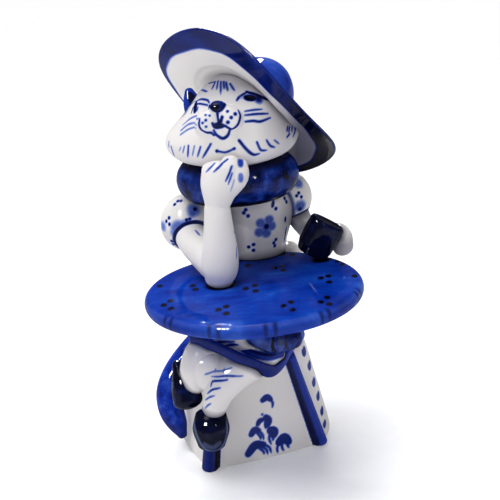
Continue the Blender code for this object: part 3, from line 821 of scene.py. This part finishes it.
# %% Paint the head
face = Brush(head)
face.dots(
    (0.2, 135.6, 2.7, 0.7),
    (-0.7, 135, 1.7, 1),
)
face.strokes(
    ([(-2.7, 135.4), (-1.3, 133.9), (0.2, 133.3), (1.8, 134.1), (3, 135.5)], 0.9, 1, (0.8, 0.8)),
    ([(-0.1, 133.6), (0, 131.7), (0.1, 129.9)], 0.8, 0.9, (0.9, 0.9)),
    ([(-6.4, 131.2), (-6.8, 129), (-6.2, 127.3), (-4.6, 126.2), (-2.9, 125.9),
      (-1.9, 124.9)], 0.95, 0.85, (0.3, 0.7)),
    ([(7.3, 132.9), (7.8, 131), (7, 128.6), (5.8, 127.2), (4.4, 126.6), (3.2, 127.3),
      (2.2, 128.2)], 1.1, 0.85, (0.3, 0.8)),
    ([(-2.1, 129.4), (-1.2, 127.9), (0.6, 127.8), (2.4, 128.1)], 1.2, 0.95),
    ([(1.2, 130.6), (0.3, 129.1), (-0.8, 128.5)], 1.5, 0.95),
    ([(-1.4, 128.9), (0.4, 128.6), (1.7, 128.6)], 1.2, 0.95),
    ([(-1.9, 126.8), (-1.1, 125), (0.9, 123.5), (2.8, 124.4), (3.8, 126.6)], 0.95, 0.85, (0.5, 0.6)),
)
for s, t, r in ((-4.2, 132.4, 0.35), (-2.8, 132.1, 0.35), (-4.3, 130.7, 0.45), (-5.5, 129.8, 0.4),
                (-4.4, 128.4, 0.4)):
    face.dot(s, t, r, 0.8)
for s, t, r in ((3.5, 133.1, 0.5), (6.1, 132, 0.6), (4.6, 131, 0.55), (1.4, 131.2, 0.6), (3.3, 129.4, 0.6)):
    face.dot(s, t, r, 0.85)

# eyes and brows
face.strokes(
    ([(-7.7, 134.4), (-8.1, 132.1)], 1.9, 1, (0.8, 0.6)),
    ([(-6.9, 133.5), (-7.5, 132.3)], 1, 0.5),
    ([(-9.5, 131.4), (-8.5, 133.4), (-6.4, 134.6), (-2.9, 134.5)], 0.6, 0.85, (0.4, 0.8)),
    ([(-7.9, 134.8), (-5.6, 136), (-3.4, 136), (-2.7, 135.3)], 0.75, 0.75, (0.2, 0.7)),
    ([(-6.9, 137.3), (-5, 138.4), (-3.2, 138.4)], 0.75, 0.65, (0.3, 0.5)),
    ([(-11.8, 130.5), (-10.5, 132.5), (-8.2, 134.7)], 0.6, 0.6, (0.2, 0.4)),
    ([(-12.7, 129.6), (-11.6, 131.1)], 0.7, 0.3),
    ([(10.5, 136.2), (13.2, 135.7)], 2.6, 1, (0.7, 0.6)),
)
face.dot(14.6, 135.2, 1.6, 0.8, 0.9)
face.strokes(
    ([(9, 136.6), (12, 136.6), (15, 135.2)], 2.2, 0.3, (0.4, 0.4), 0.8),
    ([(7, 135.7), (8.2, 136.8), (10.9, 137.9)], 0.8, 0.85, (0.4, 0.6)),
    ([(10.9, 137.9), (13.7, 136.7), (16.1, 135.3), (18.5, 133.8)], 1.3, 0.95, (0.8, 0.2)),
)
for a, b, w in (((-3, 140.2), (-0.4, 141.1), 0.9), ((-1.4, 139.2), (0, 141.2), 0.7),
                ((0.3, 139.2), (1, 141.5), 0.6), ((1.6, 137.9), (2, 141.4), 0.7),
                ((3, 139.4), (3, 141.4), 0.8), ((4.2, 138.8), (3.8, 141.2), 0.8),
                ((6.6, 138.7), (5.2, 140.8), 0.8)):
    face.stroke([a, b], w, 0.66, (0.2, 0.9))

# whiskers and fur
face.strokes(
    ([(9.5, 131.9), (12.5, 131.9), (15.7, 131.6)], 0.6, 0.75, (0.6, 0.3)),
    ([(9.5, 130.6), (13.5, 130.4), (17.6, 129.7)], 0.7, 0.8, (0.6, 0.5)),
    ([(9.4, 128.4), (12.1, 128.3), (14.6, 127.7), (18.3, 128.2)], 0.85, 0.8, (0.6, 0.4)),
    ([(-6.8, 131.3), (-9.9, 129.8), (-13, 127.5)], 0.55, 0.6, (0.4, 0.3)),
    ([(-7.6, 128.9), (-10.8, 128), (-13.7, 125.9)], 0.8, 0.42, (0.3, 0.9)),
    ([(-8.1, 127.5), (-11, 126.5), (-14, 124.6)], 0.7, 0.45, (0.3, 0.8)),
)
for a, b, w, d in (((-3.4, 121.8), (-6.8, 116.8), 0.75, 0.72), ((-7.1, 120.9), (-8.6, 117.2), 0.6, 0.65),
                   ((-9.3, 121.1), (-10.4, 117.5), 0.5, 0.45), ((-11.4, 121.2), (-12.1, 117), 0.65, 0.7),
                   ((-12.9, 120.9), (-13.8, 118.4), 0.5, 0.5), ((-14.3, 120.4), (-15, 119), 0.5, 0.35),
                   ((-18.6, 121.7), (-18.9, 119.5), 0.6, 0.5), ((-17.9, 120.2), (-17.1, 116.4), 0.6, 0.6)):
    face.stroke([a, b], w, d, (0.9, 0.2))
face.stroke([(-1.7, 119.3), (1.5, 118.6), (4.8, 119.7)], 0.6, 0.8, (1, 1))
face.dots(
    (-1.5, 119.2, 0.55, 0.9),
    (4.6, 119.6, 0.5, 0.9),
)
face.strokes(
    ([(6.6, 122.3), (9, 118.8), (11.2, 116.6), (13.3, 116.6)], 0.95, 0.85, (0.9, 0.2)),
    ([(12.8, 120.9), (13.9, 118), (16, 117.4)], 0.75, 0.75, (0.9, 0.2)),
    ([(16.3, 121), (17.4, 118.9), (19, 117.9)], 0.75, 0.75, (0.8, 0.2)),
    ([(19.1, 120.5), (20.6, 118.9)], 0.6, 0.6, (0.8, 0.3)),
    ([(25.2, 125.6), (26.8, 123.6), (27, 121.6), (26, 119.8)], 0.7, 0.8),
)
for a, b in (((24.4, 123.9), (23.8, 122.3)), ((25.1, 123.5), (24.5, 121.8)), ((26, 123.2), (25.7, 121.6)),
             ((24.8, 121.3), (23.5, 120.3))):
    face.stroke([a, b], 0.6, 0.75, (0.7, 0.2))
# Painted shade near scarf, brim and ear, over the forehead under the hat, and down the face's right side.
face.seam([scarf, hat_brim, ear_right], 3.2, pool=0.9)
x, y, z = face.points.T
face.paint_shade(np.maximum(0.6 * rise(z - 133, 7), 0.45 * rise(x - 12, 12)))
face.finish()

inner_ear = Brush(ear_right)
inner_ear.lay(slice(None), 0.55)
inner_ear.stroke([(-9.6, 136.6), (-8.8, 135), (-8, 133)], 3.4, 0.95, (0.7, 0.7))
inner_ear.finish()

# %% [markdown]
# ### Washes
#
# Scarf, tail, table and crown are filled with a broad brush. The table's rim is paler along its top edge
# and darker down its wall, as painted light and shade, and the tail is darker towards its tip.

# %% Paint the hat, the scarf and the tail
brim = Brush(hat_brim)
u, v, w = (np.array(a) for a in axes_of(HAT_AXIS))
from_centre = brim.points - np.array(HAT_CENTRE)
across, along, height = from_centre @ u, from_centre @ v, from_centre @ w
radius, angle = np.hypot(across, along), np.arctan2(along, across)
lift = np.array([brim_lift(a, r) for a, r in zip(angle, radius)])
under = (height - lift) < np.where(radius < 22.5, 0.35, 0)
wobble = 0.35 * np.sin(5 * angle + 1) + 0.2 * np.sin(13 * angle)
band_start = 31.2 - 5.2 * np.cos(angle + math.radians(95)) + wobble
share = rise(radius - band_start, 1.1)
# Painted shade: the underside band darkens and greys towards the right, and greys near head, crown and scarf.
darkened = rise(brim.points[:, 0] - 20, 14)
brim.cobalt = np.where(under, (0.76 + 0.16 * darkened) * share, 0.52)
brim.cobalt = np.where(radius > BRIM_RADIUS - 0.55, 0.7, brim.cobalt)
brim.cobalt += np.where(under, 0.07 * share * np.sin(4.3 * angle + 0.5) * np.sin(9 * angle + radius / 3), 0)
brim.pool = np.where(under, 0.95 * rise(brim.points[:, 0] - 20, 8), 0)
brim.seam([head, hat_crown, scarf], 2.4, pool=0.4)
brim.finish()

roll_paint = Brush(scarf)
x, y, z = roll_paint.points.T
turn = np.arctan2(y - SCARF_CENTRE[1], x - SCARF_CENTRE[0])
edge = 98.6 + 0.35 * np.sin(7 * turn) + 0.25 * np.sin(16 * turn + 1)
roll_paint.lay(slice(None), 0.9 * np.clip((edge - z) / 0.8 + 0.5, 0, 1))
# Painted shade and a dark painted line where the scarf meets head and torso.
roll_paint.seam([head, torso], 4.2, dark=0.7, pool=1.0)
roll_paint.finish()

tail_paint = Brush(tail)
x, y, z = tail_paint.points.T
# Darker towards the tip and along the lower side next to the body.
tail_paint.lay(slice(None), 0.55 * np.maximum(rise(12 - z, 5), rise(x + 25.5, 2.5) * (z < 30)))
# Painted shade and a dark painted line where the tail meets block, leg, shoe and skirt.
tail_paint.seam([seat_block, leg_right, shoe_right, skirt], 2.0, dark=0.8)
tail_paint.finish()

crown_paint = Brush(hat_crown)
crown_paint.seam([hat_brim], 1.5)
crown_paint.finish()

# %% Paint the table
top = Brush(table_top, (0, 0, 200), (1, 0, 0), (0, 1, 0))
TRIPLES = (
    ((-24.5, -38), (-22.3, -34.4), (-21.8, -42)), ((-14.8, -20.4), (-13.7, -24.6)),
    ((-5.4, -47.3), (-2.8, -44.9), (-2.8, -51.5)), ((4.3, -28.7), (7.6, -26.2), (7.7, -32)),
    ((5.7, -3.4),), ((15.5, -8.9), (18.5, -7.7), (18.6, -12.4)), ((19.6, 7), (23, 5.3)),
    ((16.6, -49.1), (19.3, -46.1), (19.4, -53.5)), ((31.4, -24.5), (34.2, -23.1), (33.9, -29.6)),
    ((29.3, -48.6), (31.8, -44.8), (31.9, -51.2)), ((39.2, -7.4), (40.8, -11.5)),
    ((43.4, -25.6),), ((-26.9, -17.5),),
)  # groups of three drops, cut short by the rim and by what stands on the table
for group in TRIPLES:
    for s, t in group:
        top.stroke([(s, t - 0.8), (s, t + 0.8)], 2.3, 0.98, (0.8, 0.8), 0.35)
x, y, z = top.points.T
out = np.hypot(x - TABLE_CENTRE[0], y - TABLE_CENTRE[1])
turn = np.arctan2(y - TABLE_CENTRE[1], x - TABLE_CENTRE[0])
rim_share = rise(out - (TABLE_RADIUS - 1.6 + 0.3 * np.sin(6 * turn)), 1.0)
# Painted light along the rim's top edge and painted shade down its lower wall.
top.pale_paint_and_light = 0.1 * rim_share * rise(z - 68.6, 1.2)
top.lay(slice(None), 0.2 * rim_share * rise(69.6 - z, 1.6))
TICKS = (220, 248.5, 276.3, 306, 337.5, 7, 37, 68, 98, 129, 159, 190)  # degrees round the rim, one for each pair
TICK_PATH = ((-0.9, 70.8), (-0.1, 69.6), (0, 68.0), (-0.5, 66.6))  # past the table's radius, and height
centre = np.array([*TABLE_CENTRE, 0])
for middle in TICKS:
    for a in (middle - 2.4, middle + 2.4):
        ray = np.array([math.cos(math.radians(a)), math.sin(math.radians(a)), 0])
        path = [centre + ray * (TABLE_RADIUS + r) + np.array([0, 0, h]) for r, h in TICK_PATH]
        for a, b in zip(path, path[1:]):
            top.segment(a, b, 0.85, 0.62, 0.5)
# A dark painted line and painted shade round the arm, body, bag and paw on the table.
top.seam([arm_right, torso, handbag, paw_left], 2.0, dark=0.85, pool=0.8)
top.finish()

# %% [markdown]
# ### Sprigs and dots
#
# Cloth is covered with little flowers in thin blue, each with a dark heart, and with groups of three
# dots. Cuffs and seams are one dark line.

# %% Paint the clothes
bodice = Brush(torso)
for s, t in ((15.2, 86.5), (15.9, 83.9), (13.7, 81.4), (11.1, 82.2), (11.9, 85.8)):
    bodice.dot(s, t, 1.85, 0.42, 0.5)
bodice.dots(
    (13.6, 84, 1.9, 0.4, 0.5),
    (14, 84.1, 1, 0.95),
)
for s, t in ((6.7, 91.6), (5.9, 90.4), (7.4, 89.1), (18.1, 90.4), (8.5, 77.4), (6.6, 76.5), (8.3, 75),
             (17.2, 77.8), (16.3, 76.7), (16.6, 75.3), (21.8, 93.2), (22.4, 91.7)):
    bodice.dot(s, t, 0.62, 0.92)
bodice.strokes(
    ([(17.4, 93.4), (16.8, 91.3)], 1.2, 0.92),
    ([(21.5, 85.8), (21.4, 84)], 1, 0.85),
    ([(21.6, 81), (20.9, 77.5), (20.3, 75)], 1, 0.8),
)
# Painted shade: grey near scarf, sleeve, arm and table, and down both sides of the bodice.
bodice.seam([scarf, sleeve_left, arm_left, table_top], 4.0)
bodice.paint_shade(0.75 * rise(np.abs(bodice.points[:, 0] - 12.5) - 6.5, 5))
bodice.finish()

puff = Brush(sleeve_right)
for s, t, r, d in ((-12.6, 93.4, 2.6, 0.4), (-13.2, 92.6, 1.8, 0.45), (-18.9, 87.2, 3.1, 0.38),
                   (-20.4, 85.4, 2, 0.36), (-17, 88.6, 1.6, 0.4), (-25, 87.3, 1.8, 0.36)):
    puff.dot(s, t, r, d, 0.9)
puff.dots(
    (-12.1, 93.6, 0.8, 0.98),
    (-18.6, 87, 0.95, 0.98),
)
for s, t in ((-18.4, 96.5), (-17.2, 96.6), (-19.7, 95.5), (-22.2, 91), (-23.4, 89.6), (-22.3, 88.7),
             (-15.6, 90.3), (-14.4, 90.5), (-14.6, 88.5), (-22.2, 81.7), (-21.8, 80.2)):
    puff.dot(s, t, 0.6, 0.92)
puff.seam([arm_right], 1.2, dark=0.9, pool=0.3)
puff.seam([scarf, torso], 1.4)
puff.finish()

far_puff = Brush(sleeve_left)
far_puff.dots(
    (27.6, 97.2, 2, 0.4, 0.8),
    (27.8, 88.5, 2.3, 0.42, 0.8),
    (27.5, 87.3, 0.8, 0.9),
)
for s, t in ((27.5, 93.8), (26.6, 92.9), (28.4, 92.1)):
    far_puff.dot(s, t, 0.55, 0.92)
far_puff.seam([arm_left], 1.0, dark=0.85)
far_puff.seam([torso, scarf], 1.4, dark=0.3)
far_puff.finish()

hem = Brush(skirt_hem)
x, y, z = hem.points.T
hem.cobalt = np.clip(0.72 - 0.03 * np.clip(x - 12, 0, 10), 0, 1)
hem.seam([skirt, leg_left], 0.8, dark=0.9)
hem.finish()

cloth = Brush(skirt)
cloth.strokes(
    ([(-9.1, 50.3), (-5.5, 51), (-1.6, 51.1)], 0.7, 0.85, (0.2, 0.5)),
    ([(-4.5, 49.5), (-2.4, 49.9), (-0.4, 49.8)], 0.9, 0.85),
)
cloth.seam([table_top, skirt_hem, skirt_fold], 1.5)
cloth.finish()
gather = Brush(skirt_fold)
# The fold is one smooth roll: painted shade along its bottom and in the hollows between lobes, and painted light on
# the lobes.
gather.stroke([(5, 47.6), (9.5, 45.6), (14.5, 43.4), (19, 42.8)], 1.5, 0.9, (0.6, 0.6), 0.4)
gather.lighten_wash([(7.6, 50.2), (9.6, 49), (10.8, 48)], 2, 0.12)
gather.lighten_wash([(15, 49), (15.4, 46.6)], 1.5, 0.14)
gather.strokes(
    ([(4, 51), (6, 48.4), (9.5, 46.6)], 1.6, 0.9, (0.4, 0.8)),
    ([(12.6, 52), (12, 48.6), (12.8, 45.2)], 1.4, 0.95, (0.8, 0.4)),
    ([(17.4, 50), (17, 47), (17.8, 44.2)], 1.1, 0.85, (0.7, 0.4)),
)
gather.seam([skirt, skirt_hem, table_top], 1.6, dark=0.8)
gather.finish()

# %% Paint the arms and paws
arm = Brush(arm_right)
arm.strokes(
    ([(-12.5, 87.5), (-10.7, 86.5)], 0.6, 0.6),
    ([(2, 90.7), (2.6, 88.2)], 0.6, 0.55),
    ([(2.4, 85.4), (1.9, 81.4)], 0.6, 0.5),
)
arm.seam([sleeve_right], 0.8, dark=0.9, pool=0.3)
# Painted shade where the elbow rests on the table.
arm.seam([table_top], 2.4, pool=1.0)
arm.finish()

fist = Brush(paw_right)
fist.strokes(
    ([(-2.5, 116.1), (-4.1, 114.9), (-5.8, 113.4)], 0.6, 0.6, (0.6, 0.2)),
    ([(2, 117), (-0.5, 115.4), (-3.1, 113.5)], 0.75, 0.65, (0.8, 0.3)),
    ([(3.3, 114.7), (2.2, 112.4), (0.7, 110)], 0.7, 0.72, (0.7, 0.2)),
    ([(3.2, 112.3), (1.5, 108.8)], 0.6, 0.62, (0.7, 0.2)),
    ([(3.7, 109.8), (2.1, 106.2)], 0.45, 0.35),
    ([(6.5, 116.4), (6.4, 114.8)], 2.2, 0.5, (0.8, 0.8), 0.35),
    ([(6.1, 111.2), (6, 109.4)], 1.8, 0.42, (0.8, 0.8), 0.4),
)
fist.seam([scarf, head], 1.0, pool=0.5)
fist.finish()
for made in (arm_left, paw_left):
    limb_paint = Brush(made)
    # Painted shade near bag, table, body and sleeve, and over the lower half of the left paw.
    limb_paint.seam([handbag, table_top, torso, sleeve_left], 3.0)
    if made is paw_left:
        limb_paint.paint_shade(0.7 * rise(80 - limb_paint.points[:, 2], 4))
    limb_paint.finish()
Brush(handbag).finish()

# %% [markdown]
# ### Legs, shoes and block
#
# The front of the block carries a bouquet: a few fat commas, each made with one press of the brush and
# split at its end by dry hairs. The corner posts are filled in, with a dark line down both sides.

# %% Paint the legs and shoes
leg = Brush(leg_left)
leg.strokes(
    ([(-13, 40.6), (-7.6, 41.8), (-3.3, 43.1)], 0.6, 0.5, (0.9, 0.3)),
    ([(-9.6, 40.9), (-9.2, 42)], 0.4, 0.5),
    ([(-6.5, 41.6), (-6, 42.8)], 0.4, 0.5),
    ([(-10.8, 39.6), (-5.4, 40.6), (0.3, 39.9)], 0.65, 0.65, (0.2, 0.5)),
    ([(-11.5, 36.6), (-10.2, 38.5), (-5.3, 39.3)], 0.75, 0.72, (0.3, 0.6)),
    ([(-12.9, 34.1), (-10.9, 35.8), (-8.1, 36.6)], 0.7, 0.68, (0.3, 0.4)),
    ([(-13.8, 31.8), (-12.1, 33.2), (-10.4, 33.9)], 0.6, 0.55),
    ([(-14.2, 28.9), (-13.1, 30.2), (-12, 31)], 0.6, 0.55),
    ([(0.5, 47.8), (6, 46), (11, 44), (15.5, 42.6)], 3.4, 0.62, (0.3, 0.8), 0.4),
    ([(3.5, 47.6), (8, 45.6), (13, 43.4)], 1.4, 0.95, (0.3, 0.6), 0.4),
    ([(-1.5, 31.2), (0.2, 32), (2.6, 33.4)], 0.6, 0.6, (0.9, 0.1)),
)
leg.seam([shoe_left, seat_block, skirt_hem], 1.8)
leg.finish()
far_leg = Brush(leg_right)
far_leg.seam([shoe_right, seat_block, skirt_hem], 1.2)
far_leg.finish()

near_shoe = Brush(shoe_left)
near_shoe.lighten_wash([(-19, 24), (-18.2, 20), (-16.4, 15.6), (-13, 13.2), (-9.2, 14.6), (-7.2, 19), (-6.8, 23.5)],
               0.6, 0.3)
near_shoe.lighten_wash([(-15.5, 16.5), (-12.8, 15.2), (-10.2, 16.4)], 0.9, 0.16)
near_shoe.finish()
far_shoe = Brush(shoe_right)
far_shoe.lighten_wash([(-25.6, 36), (-26.4, 31), (-25.2, 26.6), (-22, 24.4), (-18.6, 25.6)], 0.6, 0.26)
far_shoe.finish()

# %% Paint the block
bouquet = Brush(seat_block)
PLUMES = (
    ([(6.7, 22.8), (8.4, 23.5), (9.8, 22.4)], 1.9, [[(9.6, 22.6), (10.4, 20.9), (10.1, 19.1)]]),
    ([(6, 15.5), (4.8, 15.1), (4, 13.9)], 1.5, [[(4.6, 15), (3.5, 13.4)]]),
    ([(7.4, 15.9), (8.1, 14.6), (7.4, 12.9)], 2.4, [[(7.3, 14), (6.9, 11.8)]]),
    ([(1.3, 10.7), (2.6, 12.1), (4.3, 11.6)], 2,
     [[(4, 11.8), (5.4, 10), (5.8, 7.8)], [(3.2, 11.4), (4.5, 9.4), (4.8, 8.2)]]),
    ([(8.6, 10.7), (9.9, 10), (9.6, 8.6)], 2.8,
     [[(8.4, 10.2), (7.9, 7.6), (8.5, 5.2)], [(9.9, 8.8), (9.2, 6.6)]]),
    ([(-0.5, 3.6), (2.4, 6.3), (5.6, 5.9)], 2.5,
     [[(5.4, 6.2), (7.6, 4.4), (8.2, 2)], [(4.6, 5.6), (6.4, 3.8), (6.9, 1.8)],
      [(3.8, 5), (5.2, 3.4), (5.5, 2.2)]]),
    ([(11.6, 5.4), (13.6, 6.4), (15.2, 4.6)], 3,
     [[(11.4, 5.4), (10.6, 3.2), (10.7, 1.4)], [(12.8, 5.2), (12.5, 3.2), (13, 1.6)],
      [(14.6, 4.8), (14.6, 3.4), (15.2, 2.2)]]),
)  # the comma, its width, and the hairs that leave it
for points, width, hairs in PLUMES:
    bouquet.stroke(points, width * 1.3, 0.7, (0.75, 0.6), 0.25)
    for hair in hairs:
        bouquet.stroke(hair, 1.05, 0.64, (1, 0.15), 0.25)
bouquet.dot(6.1, 17.4, 0.5, 0.6)
for s, t, w in ((24.5, 34.6, 2.8), (26.2, 28.3, 2.6), (27.4, 21.6, 2.5), (28.6, 15.7, 2.4), (29.6, 9.7, 2.3),
                (30.2, 4.8, 2)):
    bouquet.stroke([(s - 0.45, t - 0.1), (s - 0.1, t), (s + 0.2, t + 0.5)], w + 0.3, 0.68, (1, 0.6), 0.3)
x, y, z = bouquet.points.T
for corner in range(4):
    foot = np.array(BLOCK_FOOT[corner]) * POST_FOOT
    crest = np.array(BLOCK_HEAD[corner]) * POST_HEAD
    up = z / POST_HEIGHT
    off_x, off_y = x - (foot[0] + (crest[0] - foot[0]) * up), y - (foot[1] + (crest[1] - foot[1]) * up)
    reach = POST_RADIUS * (1 - POST_TAPER * up)
    outward = off_x * foot[0] + off_y * foot[1]
    gap = np.hypot(off_x, off_y) - reach
    side = off_x * -foot[1] + off_y * foot[0]
    sway = side / (np.hypot(*foot) * reach)
    shade = 0.5 + 0.12 * np.abs(sway) + 0.3 * rise(np.abs(sway) - 0.78, 0.12)
    if corner == 0:  # the near post, painted darker
        shade = shade + 0.2
    on_post = rise(0.35 - gap, 0.3) * (outward > -1.2 * np.hypot(*foot))
    bouquet.lay(slice(None), shade * on_post)
# Painted shade on the block close to legs, shoes, skirt and tail.
bouquet.seam([leg_left, leg_right, shoe_left, shoe_right, skirt, tail], 1.4, pool=0.8)
bouquet.finish()
